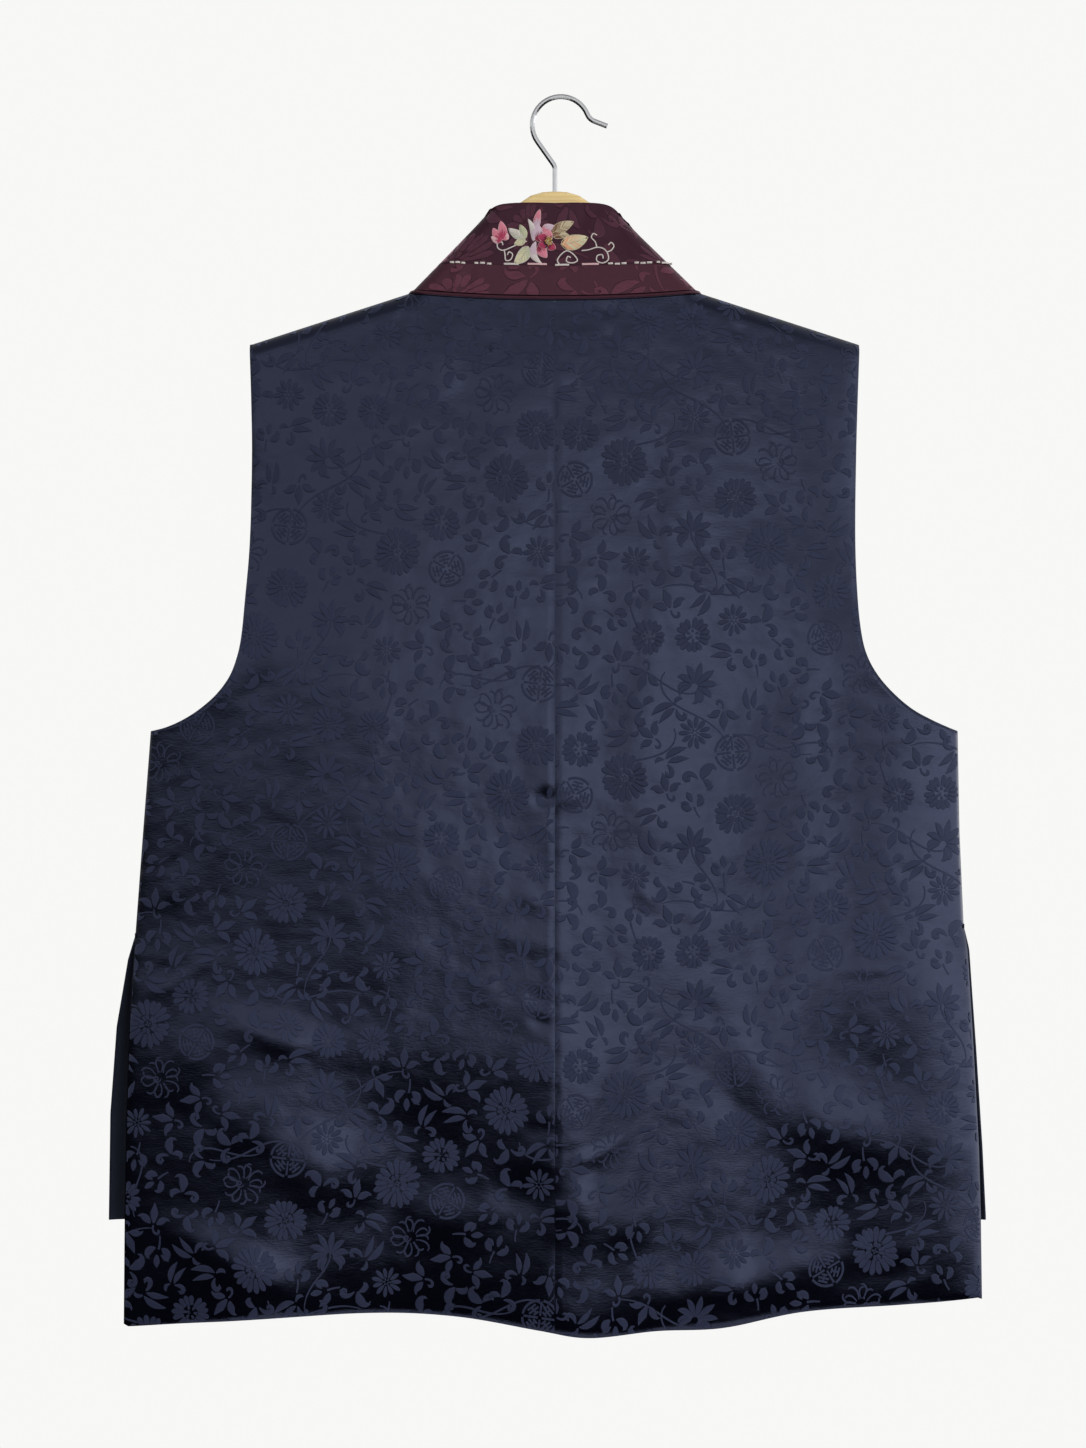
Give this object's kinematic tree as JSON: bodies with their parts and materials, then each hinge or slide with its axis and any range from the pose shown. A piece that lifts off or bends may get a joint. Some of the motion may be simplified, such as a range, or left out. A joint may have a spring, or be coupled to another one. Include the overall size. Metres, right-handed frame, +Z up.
{
  "type": "waistcoat on a clothes hanger",
  "caption": "Sleeveless silk damask waistcoat with a wide embroidered collar and side slits, hanging flat on a wooden clothes hanger with a wire hook.",
  "frame": {"origin": "inner side of the hanger hook's crown, where a rail or a wall hook carries it", "axes": "+Z up, +Y towards the back of the garment, +X towards the wearer's left side"},
  "size_m": [0.6556, 0.0538, 0.9199],
  "materials": {
    "navy_silk": "satin damask",
    "burgundy_silk": "satin damask",
    "pale_wood": "varnished",
    "steel_wire": "polished"
  },
  "bodies": {
    "root": {"back_left": "navy_silk", "back_right": "navy_silk", "front_left": "navy_silk", "front_right": "navy_silk", "collar_upper": "burgundy_silk", "collar_lower": "burgundy_silk", "collar_piping": "burgundy_silk", "hanger_board": "pale_wood", "hanger_hook": "steel_wire"}
  },
  "joints": []
}
